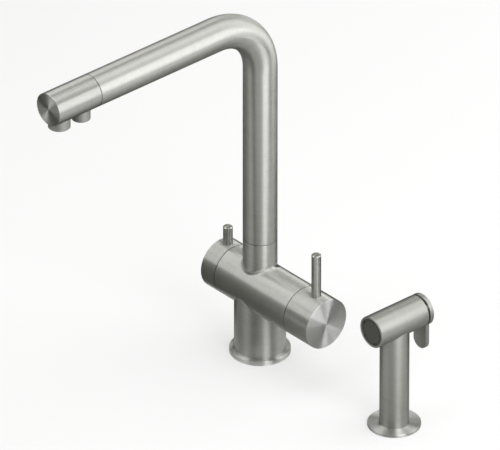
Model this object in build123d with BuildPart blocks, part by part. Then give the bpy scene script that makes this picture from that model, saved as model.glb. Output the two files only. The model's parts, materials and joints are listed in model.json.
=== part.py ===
from build123d import *
import os
from math import atan, cos, degrees, radians, sin

# Side spray kitchen faucet, in millimetres.
# +Z is up and z = 0 is the top of the deck. The origin is the centre of the faucet's foot.
# The spout reaches towards -Y. The mixer is at +X and the filtered-water valve at -X.
# The side spray stands on its own foot further out at +X, and sprays towards -Y.

# --- Clearances --------------------------------------------------------------------------------
running_gap = 0.05      # radial gap of a turning or sliding fit
thread_gap = 0.05       # radial gap of a screwed or pressed joint
sleeve_gap = 0.25       # radial gap of the hand spray over its guide
rest_gap = 0.05         # gap under a piece that rests on another body
cap_seam = 0.4          # gap between the barrel and its turning caps
swivel_seam = 0.4       # gap between the neck and the spout tube
head_seam = 0.3         # gap between the spout tube and its head

# --- Foot and column ---------------------------------------------------------------------------
column_d = 45.0
foot_ledge = 4.1        # how far the foot stands out round the column
foot_t = 4.4
foot_edge = 0.5
spigot_step = 2.5       # how much thinner the column is inside the foot
gasket_w = 2.6
gasket_t = 1.0
shank_thread_d = 33.0
shank_depth = 16.0
port_d = 9.0            # threaded bore of the hose ports
port_depth = 10.0
port_offset = 7.5       # of each port from both centre lines
waterway_d = 6.0
branch_d = 4.0

# --- Barrel across the column ------------------------------------------------------------------
barrel_d = 46.0
barrel_z = 65.9
barrel_left = 33.5
barrel_right = 56.1

# --- Neck and spout tube -----------------------------------------------------------------------
tube_d = 30.0
tube_wall = 1.2
neck_top = 114.0
neck_fillet = 3.5
spout_z = 336.8         # height of the spout's axis
bend_r = 52.0           # of the tube's centre line
spout_reach = 239.0     # from the neck's axis to the tip of the head
head_l = 47.6           # from the head's seam to its tip

# --- Swivel inside the neck --------------------------------------------------------------------
neck_wall = 2.5
bush_t = 2.0            # radial room for the swivel's bearings
swivel_bore_d = 14.0
socket_depth = 28.5     # below the top of the neck
swivel_plug = 12.0      # length of the swivel inside the tube
chamber_depth = 2.0     # mixing space under the swivel
swivel_half_turn = 90.0
lower_bush_l = 5.0
upper_bush_l = 9.5
rim_inset = 0.4         # of the upper bush's rim inside the tube's surface
swivel_seal_count = 2
swivel_seal_d = 2.6
swivel_seal_pitch = 3.8
swivel_seal_start = 7.5     # first seal above the socket's floor
stop_screw_d = 4.0
stop_tip_d = 2.4
stop_height = 16.0      # of the stop screw above the socket's floor
stop_groove_depth = 1.2
stop_recess = 0.2

# --- Mixer -------------------------------------------------------------------------------------
mixer_cap_l = 29.9      # from the barrel's end to the cap's face
mixer_face_t = 6.0
cartridge_d = 35.0
cartridge_gap = 0.3
cartridge_l = 26.0
cartridge_neck_d = 25.0
cartridge_neck_l = 8.0
cartridge_stem_l = 16.0     # of the spindle inside the cartridge
mixer_nut_l = 6.0
mixer_nut_recess = 4.0
mixer_spindle_d = 10.0
mixer_square = 7.0
mixer_hub_d = 18.0
mixer_hub_l = 20.0
mixer_lever_inset = 13.2    # of the lever from the cap's face
mixer_lever_top = 130.0
inlet_drop = 6.0        # of the hot and cold inlets below the barrel's axis
mixed_rise = 10.0       # of the mixed-water outlet above the barrel's axis
mixed_side = 6.5        # of the mixed-water outlet towards the front
port_seal_d = 1.0
port_seal_pocket_d = 10.2
diverter_d = 8.0
diverter_l = 12.0
diverter_bore_d = 3.6
spanner_slots = 6
spanner_slot_l = 3.5    # how far each slot reaches in from the nut's rim
spanner_slot_w = 3.0
spanner_slot_depth = 2.0

# --- Filtered-water valve ----------------------------------------------------------------------
filter_cap_l = 17.9
filter_face_t = 4.0
headwork_d = 20.0
headwork_l = 12.0
headwork_neck_d = 14.0
headwork_neck_l = 9.0
headwork_stem_l = 9.0
filter_nut_d = 24.0
filter_nut_l = 6.0
filter_nut_recess = 1.5
filter_spindle_d = 7.0
filter_square = 4.9
filter_hub_d = 14.0
filter_hub_l = 11.0
filter_lever_inset = 9.5
filter_lever_top = 106.0
filter_out_rise = 5.0   # of the filtered-water outlet above the barrel's axis

# --- Caps and levers, shared -------------------------------------------------------------------
cap_wall = 3.5
cap_edge = 0.3
hub_end = 3.0           # depth of the hub's square hole short of the cap's face
guide_l = 4.5           # how far each guide ring reaches into its cap
guide_t = 3.4
lever_d = 8.4
lever_seat = 0.9        # depth of the lever's seat below the cap's crown
lever_thread_d = 5.0
lever_edge = 0.7

# --- Spout head and its two outlets ------------------------------------------------------------
head_wall = 4.0
head_tip_t = 5.0
head_plug_l = 12.0
head_edge = 0.3
head_seal_d = 1.1
head_seal_inset = 9.0   # of the seal from the head's seam
head_screw_d = 4.0
head_screw_l = 2.5
head_screw_inset = 4.0
head_screw_recess = 0.3
front_outlet_inset = 12.2   # of the outlet's axis from the head's tip
front_outlet_d = 19.4
front_outlet_l = 6.2    # below the head's underside
rear_outlet_inset = 36.5
rear_outlet_d = 16.5
rear_outlet_l = 7.7
outlet_lip = 1.6        # wall of an outlet round its aerator
outlet_edge = 0.4
outlet_step = 0.8       # how much thinner an outlet is where it screws into the head
outlet_screw_l = 3.4    # of the screwed end above the head's underside
outlet_screw_root = 1.0     # of the screwed end below it
aerator_recess = 0.8
aerator_l = 5.2
aerator_rings = 2
aerator_hole_d = 1.5
aerator_pitch = 2.3
washer_t = 1.6
washer_w = 2.0
filter_tube_d = 6.35
filter_tube_wall = 1.0
filter_socket_l = 6.0
filter_seal_d = 1.2
elbow_cover = 4.5       # height of the elbow above the spout's axis
elbow_stop = 2.5        # end of the filtered-water tube short of the outlet's axis

# --- Side spray --------------------------------------------------------------------------------
spray_x = 166.1
spray_y = 6.8
spray_foot_d = 46.2
spray_foot_t = 2.6
spray_foot_edge = 0.3
spray_gasket_d = 36.0
handle_d = 25.6
handle_wall = 1.6
guide_sleeve_l = 14.0
guide_liner_t = 0.8
spray_thread_d = 17.0
spray_head_d = 28.8
spray_head_wall = 1.9
spray_head_z = 103.0
spray_front = 26.7      # face of the head, from the handle's axis
spray_rear = 26.5       # rear end of the head
spray_edge = 0.3
face_recess = 0.4
face_t = 3.0
face_slots = 5
face_slot_l = 2.4
face_slot_w = 1.1
face_slot_inset = 1.7   # of the slots' centres from the face's rim
face_slot_turn = 4.0    # of the first slot, in degrees
nipple_rise = 0.6       # of the hose thread above the guide
nipple_thread_d = 14.0
nipple_thread_l = 8.0
nipple_plug_l = 8.0
inlet_pipe_d = 10.0
inlet_bore_d = 7.0
inlet_seat = 2.5        # of the inlet pipe in the pieces at its two ends

# --- Spray valve and trigger -------------------------------------------------------------------
valve_front = 5.0       # how far the valve block reaches in front of the handle's axis
valve_drop = 6.0        # of the valve's axis below the head's axis
valve_pocket_d = 7.2
valve_guide_l = 4.5
valve_seat_l = 3.0
valve_seat_bore_d = 4.6
valve_disc_t = 1.9
block_seal_d = 1.1
block_seal_inset = 12.0     # of the seal from the block's rear face
plunger_d = 2.8
plunger_tip = 1.0       # length of the rod in front of the valve disc
plunger_dome = 1.0
plunger_rest_gap = 0.15
collar_t = 1.5
spring_d = 5.0          # mean diameter of its turns
spring_wire = 0.7
spring_turns = 7
trigger_gap = 2.3       # dark gap between the head and the trigger
trigger_t = 3.8
trigger_edge = 0.3
tongue_half = 8.2
tongue_drop = 29.7      # centre of the tongue's round end below the head's axis
pin_rise = 7.8          # of the trigger's pin above the head's axis
pin_d = 1.0
pin_half = 11.6
knuckle_d = 1.9
knuckle_half = 5.8      # half length of the middle knuckle
knuckle_gap = 0.2

# --- Worked out from the sizes above -----------------------------------------------------------
foot_d = column_d + 2 * foot_ledge
spigot_d = column_d - 2 * spigot_step
gasket_d = (foot_d + spigot_d) / 2
barrel_top = barrel_z + barrel_d / 2
mixer_end = barrel_right + mixer_cap_l
filter_end = barrel_left + filter_cap_l
cap_bore_d = barrel_d - 2 * cap_wall
guide_bore_d = cap_bore_d - 2 * guide_t

tube_bore_d = tube_d - 2 * tube_wall
neck_bore_d = tube_d - 2 * neck_wall
swivel_d = neck_bore_d - 2 * bush_t
socket_floor = neck_top - socket_depth
chamber_floor = socket_floor - chamber_depth
filter_socket_floor = chamber_floor - filter_socket_l
tube_start = neck_top + swivel_seam
stop_z = socket_floor + stop_height

cartridge_bore_d = cartridge_d + 2 * cartridge_gap
mixer_nut_end = barrel_right - mixer_nut_recess
cartridge_end = mixer_nut_end - mixer_nut_l
cartridge_floor = cartridge_end - cartridge_l
cartridge_neck_end = cartridge_end + cartridge_neck_l
inlet_z = barrel_z - inlet_drop
mixed_z = barrel_z + mixed_rise
mixed_link_x = port_offset - branch_d / 2

filter_nut_end = barrel_left - filter_nut_recess
headwork_end = filter_nut_end - filter_nut_l
headwork_floor = headwork_end - headwork_l
headwork_neck_end = headwork_end + headwork_neck_l
filter_out_z = barrel_z + filter_out_rise

head_start = spout_reach - head_l
head_bore_d = tube_d - 2 * head_wall
head_floor_z = spout_z - tube_d / 2
front_outlet_y = spout_reach - front_outlet_inset
front_outlet_z = head_floor_z - front_outlet_l
rear_outlet_y = spout_reach - rear_outlet_inset
rear_outlet_z = head_floor_z - rear_outlet_l
head_plug_d = tube_bore_d - 2 * thread_gap
head_screw_y = head_start - head_screw_inset
head_screw_z = head_floor_z + head_screw_recess

handle_bore_d = handle_d - 2 * handle_wall
liner_d = handle_bore_d - 2 * sleeve_gap
sleeve_d = liner_d - 2 * guide_liner_t
sleeve_top = spray_foot_t + guide_sleeve_l
nipple_z = sleeve_top + guide_liner_t + nipple_rise
nipple_top = nipple_z + nipple_thread_l + nipple_plug_l
spray_bore_d = spray_head_d - 2 * spray_head_wall
block_d = spray_bore_d - 2 * thread_gap
block_floor_z = spray_head_z - block_d / 2
valve_z = spray_head_z - valve_drop
pocket_end = spray_rear - valve_guide_l
collar_front = pocket_end - rest_gap - collar_t
hinge_y = spray_rear + trigger_gap / 2
hinge_z = spray_head_z + pin_rise
trigger_front = spray_rear + trigger_gap
trigger_rear = trigger_front + trigger_t


# --- Planes and plain turned shapes ------------------------------------------------------------
def level(z, x=0.0, y=0.0):
    """Level plane at a height, facing up."""
    return Plane(origin=(x, y, z))


def under(z, x=0.0, y=0.0):
    """Level plane at a height, facing down."""
    return Plane(origin=(x, y, z), x_dir=(1, 0, 0), z_dir=(0, 0, -1))


def across(x, side=1, y=0.0, z=barrel_z):
    """Plane square to the barrel, facing +X, or -X with a side of -1."""
    return Plane(origin=(x, y, z), x_dir=(0, 1, 0), z_dir=(side, 0, 0))


def spout_section(y):
    """Plane square to the spout's reach, on its axis, facing the tip."""
    return Plane(origin=(0, -y, spout_z), x_dir=(1, 0, 0), z_dir=(0, -1, 0))


def spray_section(y, z=spray_head_z):
    """Plane square to the spray head, y behind the handle's axis, facing its front."""
    return Plane(origin=(spray_x, spray_y + y, z), x_dir=(1, 0, 0), z_dir=(0, -1, 0))


def disc(plane, diameter, length, mode=Mode.ADD):
    """Round bar from a plane along its normal, in the part that is being built."""
    with BuildSketch(plane) as section:
        Circle(diameter / 2)
    extrude(section.sketch, amount=length, mode=mode)


def ring(plane, outer_d, inner_d, length, mode=Mode.ADD):
    """Ring from a plane along its normal, in the part that is being built."""
    with BuildSketch(plane) as section:
        Circle(outer_d / 2)
        Circle(inner_d / 2, mode=Mode.SUBTRACT)
    extrude(section.sketch, amount=length, mode=mode)


def square_bar(plane, width, length, mode=Mode.ADD):
    """Square bar from a plane along its normal, in the part that is being built."""
    with BuildSketch(plane) as section:
        Rectangle(width, width)
    extrude(section.sketch, amount=length, mode=mode)


def seal(plane, mean_d, section_d):
    """Round seal lying in a plane, in the part that is being built."""
    upright = Plane(origin=plane.origin, x_dir=plane.x_dir, z_dir=plane.y_dir)
    with BuildSketch(upright) as section:
        with Locations((mean_d / 2, 0)):
            Circle(section_d / 2)
    revolve(section.sketch, axis=Axis(plane.origin, plane.z_dir))


# --- Foot --------------------------------------------------------------------------------------
with BuildPart() as base_flange:
    disc(level(0), foot_d, foot_t)
    chamfer(base_flange.edges().sort_by(Axis.Z)[-1], foot_edge)
    disc(level(0), spigot_d + 2 * thread_gap, foot_t, Mode.SUBTRACT)
    ring(level(0), gasket_d + gasket_w, gasket_d - gasket_w, gasket_t, Mode.SUBTRACT)

with BuildPart() as base_gasket:
    ring(level(0), gasket_d + gasket_w, gasket_d - gasket_w, gasket_t)

# --- Body: column, barrel and neck in one piece ------------------------------------------------
with BuildPart() as faucet_body:
    disc(level(0), spigot_d, foot_t)
    disc(level(foot_t), column_d, barrel_z - foot_t)
    disc(across(-barrel_left), barrel_d, barrel_left + barrel_right)
    disc(level(barrel_z), tube_d, neck_top - barrel_z)
    neck_joint = faucet_body.edges().filter_by(
        lambda edge: edge.geom_type not in (GeomType.LINE, GeomType.CIRCLE)
        and edge.center().Z > barrel_z + barrel_d / 4
    )
    fillet(neck_joint, neck_fillet)
    # Spigot for the guide ring of the filtered-water cap.
    disc(across(-barrel_left, -1), guide_bore_d, guide_l)

    # Sockets for the deck shank and for the swivel, with the mixing space under it.
    disc(level(0), shank_thread_d, shank_depth, Mode.SUBTRACT)
    disc(under(neck_top), neck_bore_d, socket_depth, Mode.SUBTRACT)
    disc(under(socket_floor), swivel_d, chamber_depth, Mode.SUBTRACT)

    # Sockets for the cartridge and for the filtered-water headwork and its nut.
    disc(across(cartridge_floor), cartridge_bore_d, barrel_right - cartridge_floor, Mode.SUBTRACT)
    headwork_bore_d = headwork_d + 2 * thread_gap
    disc(across(-headwork_floor, -1), headwork_bore_d, headwork_l, Mode.SUBTRACT)
    nut_bore_l = barrel_left + guide_l - headwork_end
    disc(across(-headwork_end, -1), filter_nut_d, nut_bore_l, Mode.SUBTRACT)

    # Hot and cold water: up from their ports, then across to the cartridge.
    for y in (-port_offset, port_offset):
        disc(level(shank_depth, port_offset, y), port_d, port_depth, Mode.SUBTRACT)
        disc(level(shank_depth, port_offset, y), waterway_d, inlet_z - shank_depth, Mode.SUBTRACT)
        inlet_run = cartridge_floor - port_offset
        disc(across(port_offset, 1, y, inlet_z), waterway_d, inlet_run, Mode.SUBTRACT)

    # Filtered water: up from its port to the headwork, and on to the inner tube's socket.
    disc(level(shank_depth, -port_offset, port_offset), port_d, port_depth, Mode.SUBTRACT)
    filter_rise = barrel_z - shank_depth
    disc(level(shank_depth, -port_offset, port_offset), waterway_d, filter_rise, Mode.SUBTRACT)
    filter_run = headwork_floor - port_offset
    disc(across(-port_offset, -1, port_offset), branch_d, filter_run, Mode.SUBTRACT)
    disc(across(-headwork_floor, 1, 0, filter_out_z), branch_d, headwork_floor, Mode.SUBTRACT)
    disc(level(filter_out_z), branch_d, filter_socket_floor - filter_out_z, Mode.SUBTRACT)
    filter_socket_d = filter_tube_d + 2 * running_gap
    disc(level(filter_socket_floor), filter_socket_d, filter_socket_l, Mode.SUBTRACT)
    seal_socket_d = filter_tube_d + 2 * filter_seal_d + 4 * running_gap
    disc(under(chamber_floor), seal_socket_d, 2 * filter_seal_d, Mode.SUBTRACT)

    # Mixed water: from the cartridge past the diverter, up to the swivel and down to the spray.
    mixed_run = cartridge_floor - mixed_link_x + branch_d / 2
    disc(across(cartridge_floor, -1, -mixed_side, mixed_z), diverter_d, mixed_run, Mode.SUBTRACT)
    spray_run = mixed_link_x + port_offset
    disc(across(mixed_link_x, -1, -mixed_side, mixed_z), branch_d, spray_run, Mode.SUBTRACT)
    mixed_lift = socket_floor - mixed_z
    disc(level(mixed_z, mixed_link_x, -mixed_side), branch_d, mixed_lift, Mode.SUBTRACT)
    disc(level(shank_depth, -port_offset, -port_offset), port_d, port_depth, Mode.SUBTRACT)
    spray_fall = mixed_z - shank_depth
    disc(level(shank_depth, -port_offset, -port_offset), waterway_d, spray_fall, Mode.SUBTRACT)

    # Tapped hole at the back of the neck for the swivel's stop screw.
    stop_plane = Plane(origin=(0, tube_d / 2, stop_z), x_dir=(1, 0, 0), z_dir=(0, -1, 0))
    disc(stop_plane, stop_screw_d, neck_wall + bush_t, Mode.SUBTRACT)

# --- Swivel of the spout -----------------------------------------------------------------------
seal_root_d = neck_bore_d - 2 * swivel_seal_d - 4 * running_gap
groove_w = stop_tip_d + 2 * sleeve_gap
groove_floor_r = swivel_d / 2 - stop_groove_depth
groove_half_arc = swivel_half_turn + degrees(atan(groove_w / 2 / groove_floor_r))

with BuildPart() as swivel:
    disc(level(tube_start), tube_bore_d - 2 * thread_gap, swivel_plug)
    disc(under(tube_start), swivel_d - 2 * running_gap, tube_start - socket_floor)
    disc(level(socket_floor), swivel_bore_d, tube_start - socket_floor + swivel_plug, Mode.SUBTRACT)
    for i in range(swivel_seal_count):
        groove_start = swivel_seal_start + i * swivel_seal_pitch - swivel_seal_d / 2 - running_gap
        groove_plane = level(socket_floor + groove_start)
        ring(groove_plane, swivel_d, seal_root_d, swivel_seal_d + 2 * running_gap, Mode.SUBTRACT)
    # The two ends of this groove stop the spout at the stop screw's tip.
    first = radians(90 - groove_half_arc)
    first_plane = Plane(
        origin=(0, 0, stop_z), x_dir=(cos(first), sin(first), 0), z_dir=(sin(first), -cos(first), 0)
    )
    with BuildSketch(first_plane):
        with Locations((groove_floor_r + stop_groove_depth / 2, 0)):
            Rectangle(stop_groove_depth, groove_w)
    revolve(axis=Axis.Z, revolution_arc=2 * groove_half_arc, mode=Mode.SUBTRACT)

with BuildPart() as lower_bush:
    ring(level(socket_floor), neck_bore_d, swivel_d, lower_bush_l)

with BuildPart() as upper_bush:
    ring(under(neck_top), neck_bore_d, swivel_d, upper_bush_l)
    ring(level(neck_top), tube_d - 2 * rim_inset, swivel_d, swivel_seam - rest_gap)

with BuildPart() as swivel_seals:
    for i in range(swivel_seal_count):
        seal_plane = level(socket_floor + swivel_seal_start + i * swivel_seal_pitch)
        seal(seal_plane, neck_bore_d - swivel_seal_d - 2 * running_gap, swivel_seal_d)

with BuildPart() as stop_screw:
    stop_body_l = neck_wall - stop_recess
    disc(stop_plane.offset(stop_recess), stop_screw_d - 2 * thread_gap, stop_body_l)
    stop_tip_l = bush_t + stop_groove_depth - sleeve_gap
    disc(stop_plane.offset(neck_wall), stop_tip_d, stop_tip_l)

with BuildPart() as filter_tube_seal:
    seal_plane = level(chamber_floor - filter_seal_d)
    seal(seal_plane, filter_tube_d + filter_seal_d + 2 * running_gap, filter_seal_d)


# --- Turning caps, levers and spindles, the same on both sides ---------------------------------
def turning_cap(side, start, end, face_t, hub_d, hub_l, square, lever_inset):
    """Cap with a hub for its spindle and a seat for its lever."""
    skirt = start + cap_seam
    face = end - face_t
    lever_x = side * (end - lever_inset)
    with BuildPart() as cap:
        disc(across(side * skirt, side), barrel_d, end - skirt)
        chamfer(cap.edges().filter_by(GeomType.CIRCLE), cap_edge)
        disc(across(side * skirt, side), cap_bore_d, face - skirt, Mode.SUBTRACT)
        disc(across(side * face, -side), hub_d, hub_l)
        hole = across(side * (face - hub_l), side)
        square_bar(hole, square + 2 * thread_gap, hub_l - hub_end, Mode.SUBTRACT)
        seat = level(barrel_top - lever_seat, lever_x)
        disc(seat, lever_d + 2 * thread_gap, 2 * lever_seat, Mode.SUBTRACT)
        tapped = under(barrel_top, lever_x)
        disc(tapped, lever_thread_d + 2 * thread_gap, (barrel_d - square) / 2, Mode.SUBTRACT)
    return cap


def pin_lever(lever_x, top, square):
    """Plain pin with a threaded end that clamps the cap's hub to its spindle."""
    seat_z = barrel_top - lever_seat
    with BuildPart() as lever:
        disc(level(seat_z, lever_x), lever_d, top - seat_z)
        chamfer(lever.edges().sort_by(Axis.Z)[-1], lever_edge)
        thread_l = seat_z - barrel_z - square / 2 - thread_gap
        disc(under(seat_z, lever_x), lever_thread_d, thread_l)
    return lever


def valve_spindle(side, start, round_end, square_end, diameter, square):
    """Spindle, round inside its valve and square inside its cap."""
    with BuildPart() as spindle:
        disc(across(side * start, side), diameter, round_end - start)
        square_bar(across(side * round_end, side), square, square_end - round_end)
    return spindle


# --- Mixer -------------------------------------------------------------------------------------
cartridge_ports = [(-port_offset, inlet_z), (port_offset, inlet_z), (-mixed_side, mixed_z)]

with BuildPart() as mixer_cartridge:
    disc(across(cartridge_floor), cartridge_d, cartridge_l)
    disc(across(cartridge_end), cartridge_neck_d, cartridge_neck_l)
    stem_bore = across(cartridge_neck_end, -1)
    stem_bore_d = mixer_spindle_d + 2 * running_gap
    disc(stem_bore, stem_bore_d, cartridge_stem_l + rest_gap, Mode.SUBTRACT)
    for y, z in cartridge_ports:
        port_plane = across(cartridge_floor, 1, y, z)
        disc(port_plane, port_seal_pocket_d, port_seal_d, Mode.SUBTRACT)
        disc(port_plane, waterway_d, cartridge_l - cartridge_stem_l, Mode.SUBTRACT)

with BuildPart() as cartridge_seals:
    for y, z in cartridge_ports:
        seal_plane = across(cartridge_floor + port_seal_d / 2, 1, y, z)
        seal(seal_plane, port_seal_pocket_d - port_seal_d - 2 * running_gap, port_seal_d)

with BuildPart() as diverter:
    diverter_plane = across(cartridge_floor, -1, -mixed_side, mixed_z)
    ring(diverter_plane, diverter_d - 2 * thread_gap, diverter_bore_d, diverter_l)

with BuildPart() as mixer_nut:
    nut_plane = across(cartridge_end)
    nut_d = cartridge_bore_d - 2 * thread_gap
    ring(nut_plane, nut_d, cartridge_neck_d + 2 * thread_gap, mixer_nut_l)
    with BuildSketch(nut_plane.offset(mixer_nut_l)):
        with PolarLocations(nut_d / 2, spanner_slots):
            Rectangle(2 * spanner_slot_l, spanner_slot_w)
    extrude(amount=-spanner_slot_depth, mode=Mode.SUBTRACT)

with BuildPart() as mixer_guide:
    ring(
        across(mixer_nut_end),
        cartridge_bore_d - 2 * thread_gap,
        cartridge_neck_d + 2 * cartridge_gap,
        mixer_nut_recess,
    )
    ring(
        across(barrel_right),
        cap_bore_d - 2 * running_gap,
        cartridge_neck_d + 2 * cartridge_gap,
        guide_l,
    )

mixer_spindle = valve_spindle(
    1,
    cartridge_neck_end - cartridge_stem_l,
    cartridge_neck_end + cap_seam,
    mixer_end - mixer_face_t - hub_end,
    mixer_spindle_d,
    mixer_square,
)
mixer_cap = turning_cap(
    1,
    barrel_right,
    mixer_end,
    mixer_face_t,
    mixer_hub_d,
    mixer_hub_l,
    mixer_square,
    mixer_lever_inset,
)
mixer_lever = pin_lever(mixer_end - mixer_lever_inset, mixer_lever_top, mixer_square)

# --- Filtered-water valve ----------------------------------------------------------------------
with BuildPart() as filter_headwork:
    disc(across(-headwork_floor, -1), headwork_d, headwork_l)
    disc(across(-headwork_end, -1), headwork_neck_d, headwork_neck_l)
    stem_bore = across(-headwork_neck_end)
    stem_bore_d = filter_spindle_d + 2 * running_gap
    disc(stem_bore, stem_bore_d, headwork_stem_l + rest_gap, Mode.SUBTRACT)
    for y, z in ((port_offset, barrel_z), (0, filter_out_z)):
        port_plane = across(-headwork_floor, -1, y, z)
        disc(port_plane, branch_d, headwork_l / 2, Mode.SUBTRACT)

with BuildPart() as filter_nut:
    nut_plane = across(-headwork_end, -1)
    ring(
        nut_plane,
        filter_nut_d - 2 * thread_gap,
        headwork_neck_d + 2 * thread_gap,
        filter_nut_l,
    )
    with BuildSketch(nut_plane.offset(filter_nut_l)):
        with PolarLocations(filter_nut_d / 2, spanner_slots):
            Rectangle(2 * spanner_slot_l, spanner_slot_w)
    extrude(amount=-spanner_slot_depth, mode=Mode.SUBTRACT)

with BuildPart() as filter_guide:
    ring(
        across(-barrel_left, -1),
        cap_bore_d - 2 * running_gap,
        guide_bore_d + 2 * thread_gap,
        guide_l,
    )

filter_spindle = valve_spindle(
    -1,
    headwork_neck_end - headwork_stem_l,
    headwork_neck_end + cap_seam,
    filter_end - filter_face_t - hub_end,
    filter_spindle_d,
    filter_square,
)
filter_cap = turning_cap(
    -1,
    barrel_left,
    filter_end,
    filter_face_t,
    filter_hub_d,
    filter_hub_l,
    filter_square,
    filter_lever_inset,
)
filter_lever = pin_lever(filter_lever_inset - filter_end, filter_lever_top, filter_square)

# --- Spout tube and the filtered-water tube inside it ------------------------------------------
head_screw_plane = level(head_screw_z - head_screw_recess, 0, -head_screw_y)
head_screw_hole_l = head_screw_recess + head_screw_l + rest_gap

with BuildPart() as spout_tube:
    with BuildLine():
        FilletPolyline(
            (0, 0, tube_start), (0, 0, spout_z), (0, -head_start, spout_z), radius=bend_r
        )
    with BuildSketch(level(tube_start)):
        Circle(tube_d / 2)
        Circle(tube_bore_d / 2, mode=Mode.SUBTRACT)
    sweep()
    disc(head_screw_plane, head_screw_d, head_screw_hole_l, Mode.SUBTRACT)

with BuildPart() as filter_tube:
    with BuildLine():
        FilletPolyline(
            (0, 0, filter_socket_floor + rest_gap),
            (0, 0, spout_z),
            (0, elbow_stop - rear_outlet_y, spout_z),
            radius=bend_r,
        )
    with BuildSketch(level(filter_socket_floor + rest_gap)):
        Circle(filter_tube_d / 2)
        Circle(filter_tube_d / 2 - filter_tube_wall, mode=Mode.SUBTRACT)
    sweep()

# --- Spout head --------------------------------------------------------------------------------
outlets = {
    "front": (front_outlet_y, front_outlet_d, front_outlet_z),
    "rear": (rear_outlet_y, rear_outlet_d, rear_outlet_z),
}

with BuildPart() as spout_head:
    head_body_start = head_start + head_seam
    disc(spout_section(head_body_start), tube_d, spout_reach - head_body_start)
    chamfer(spout_head.edges().sort_by(Axis.Y)[0], head_edge)
    plug_start = head_start - head_plug_l
    disc(spout_section(plug_start), head_plug_d, head_plug_l + head_seam)
    head_bore_l = spout_reach - head_tip_t - plug_start
    disc(spout_section(plug_start), head_bore_d, head_bore_l, Mode.SUBTRACT)
    for y, diameter, bottom in outlets.values():
        hole_d = diameter - 2 * outlet_step + 2 * thread_gap
        disc(level(head_floor_z, 0, -y), hole_d, tube_d / 2, Mode.SUBTRACT)
    seal_groove = spout_section(head_start - head_seal_inset - head_seal_d / 2 - running_gap)
    seal_root_d = head_plug_d - 2 * head_seal_d - 2 * running_gap
    ring(seal_groove, head_plug_d, seal_root_d, head_seal_d + 2 * running_gap, Mode.SUBTRACT)
    disc(head_screw_plane, head_screw_d, head_screw_hole_l, Mode.SUBTRACT)

with BuildPart() as head_seal:
    seal(spout_section(head_start - head_seal_inset), head_plug_d - head_seal_d, head_seal_d)

with BuildPart() as head_screw:
    disc(
        head_screw_plane.offset(head_screw_recess), head_screw_d - 2 * thread_gap, head_screw_l
    )


# --- Outlets, the same at the front and the rear -----------------------------------------------
def outlet_collar(y, diameter, bottom):
    """Turned collar, cut to the head's round underside, with a thread up into the head."""
    with BuildPart() as collar:
        disc(level(bottom, 0, -y), diameter, spout_z - bottom)
        chamfer(collar.edges().sort_by(Axis.Z)[0], outlet_edge)
        disc(spout_section(y - diameter), tube_d, 2 * diameter, Mode.SUBTRACT)
        screw_top = head_floor_z + outlet_screw_l
        screw_l = outlet_screw_l + outlet_screw_root
        disc(under(screw_top, 0, -y), diameter - 2 * outlet_step, screw_l)
        bore_l = screw_top - bottom
        disc(level(bottom, 0, -y), diameter - 2 * outlet_lip, bore_l, Mode.SUBTRACT)
    return collar


def aerator(y, diameter, bottom):
    """Flow straightener: a disc with rings of straight holes."""
    with BuildPart() as insert:
        plane = level(bottom + aerator_recess, 0, -y)
        disc(plane, diameter - 2 * outlet_lip - 2 * thread_gap, aerator_l)
        with BuildSketch(plane):
            Circle(aerator_hole_d / 2)
            for i in range(1, aerator_rings + 1):
                with PolarLocations(i * aerator_pitch, 6 * i):
                    Circle(aerator_hole_d / 2)
        extrude(amount=aerator_l, mode=Mode.SUBTRACT)
    return insert


front_outlet = outlet_collar(*outlets["front"])
rear_outlet = outlet_collar(*outlets["rear"])
front_aerator = aerator(*outlets["front"])
rear_aerator = aerator(*outlets["rear"])

with BuildPart() as outlet_washers:
    for y, diameter, bottom in outlets.values():
        washer_plane = level(bottom + aerator_recess + aerator_l, 0, -y)
        washer_d = diameter - 2 * outlet_lip - 2 * thread_gap
        ring(washer_plane, washer_d, washer_d - 2 * washer_w, washer_t)

with BuildPart() as filter_elbow:
    elbow_d = rear_outlet_d - 2 * outlet_lip - 2 * thread_gap
    elbow_z = rear_outlet_z + aerator_recess + aerator_l + washer_t
    elbow_top = spout_z + elbow_cover
    elbow_bore_d = filter_tube_d - 2 * filter_tube_wall
    disc(level(elbow_z, 0, -rear_outlet_y), elbow_d, elbow_top - elbow_z)
    disc(level(elbow_z, 0, -rear_outlet_y), branch_d, spout_z - elbow_z, Mode.SUBTRACT)
    socket_start = rear_outlet_y - elbow_d
    socket_l = elbow_d - elbow_stop
    socket_d = filter_tube_d + 2 * thread_gap
    disc(spout_section(socket_start), socket_d, socket_l, Mode.SUBTRACT)
    elbow_bore_l = elbow_d + elbow_bore_d / 2
    disc(spout_section(socket_start), elbow_bore_d, elbow_bore_l, Mode.SUBTRACT)

# --- Foot of the side spray --------------------------------------------------------------------
with BuildPart() as spray_foot:
    spray_foot_plane = level(0, spray_x, spray_y)
    disc(spray_foot_plane, spray_foot_d, spray_foot_t)
    chamfer(spray_foot.edges().sort_by(Axis.Z)[-1], spray_foot_edge)
    disc(spray_foot_plane.offset(spray_foot_t), sleeve_d, guide_sleeve_l)
    disc(spray_foot_plane, spray_thread_d, sleeve_top, Mode.SUBTRACT)
    ring(
        spray_foot_plane,
        spray_gasket_d + gasket_w,
        spray_gasket_d - gasket_w,
        gasket_t,
        Mode.SUBTRACT,
    )

with BuildPart() as spray_gasket:
    ring(spray_foot_plane, spray_gasket_d + gasket_w, spray_gasket_d - gasket_w, gasket_t)

with BuildPart() as guide_liner:
    ring(spray_foot_plane.offset(spray_foot_t), liner_d, sleeve_d, guide_sleeve_l)
    rim_bore_d = spray_thread_d + 2 * sleeve_gap
    ring(spray_foot_plane.offset(sleeve_top), liner_d, rim_bore_d, guide_liner_t)

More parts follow.
